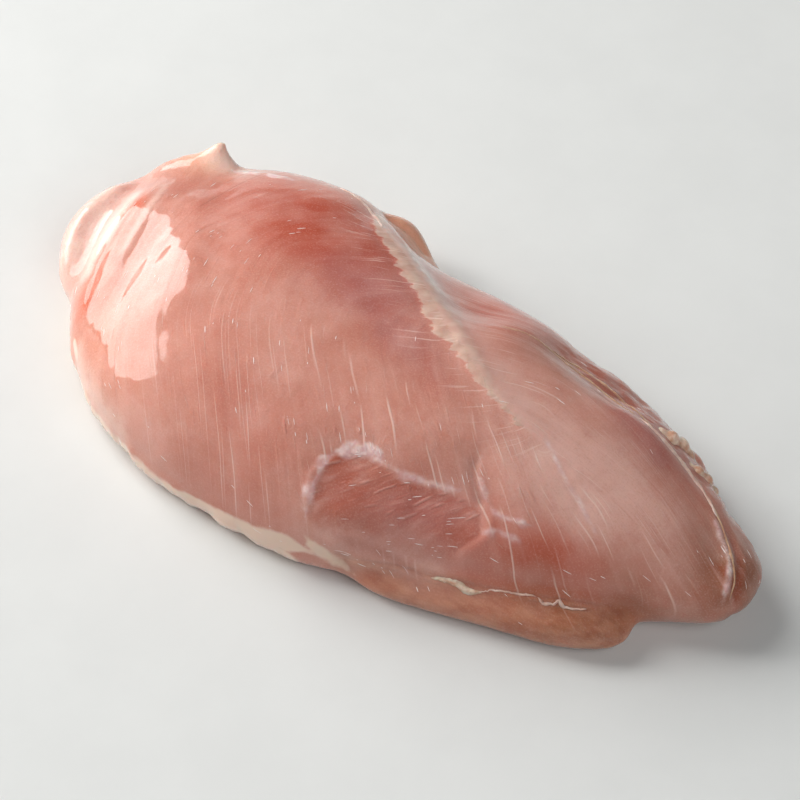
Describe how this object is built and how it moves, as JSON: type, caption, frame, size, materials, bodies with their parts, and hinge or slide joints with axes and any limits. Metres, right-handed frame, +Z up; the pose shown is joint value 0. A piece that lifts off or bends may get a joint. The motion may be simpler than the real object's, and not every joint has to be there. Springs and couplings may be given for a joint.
{
  "type": "raw chicken breast fillet",
  "caption": "Raw boneless, skinless chicken breast fillet: a domed teardrop of muscle with a fat seam, a side lobe and creased shoulder end.",
  "frame": {"origin": "on the table, under the middle of the fillet's bounding box", "axes": "+X along the length, towards the thin tail end; +Y towards the keel side, where the seam of fat reaches the edge; +Z up, out of the smooth side"},
  "size_m": [0.1862, 0.0926, 0.0368],
  "materials": {
    "raw_meat": "moist, glossy"
  },
  "bodies": {
    "root": {"breast_fillet": "raw_meat"}
  },
  "joints": []
}
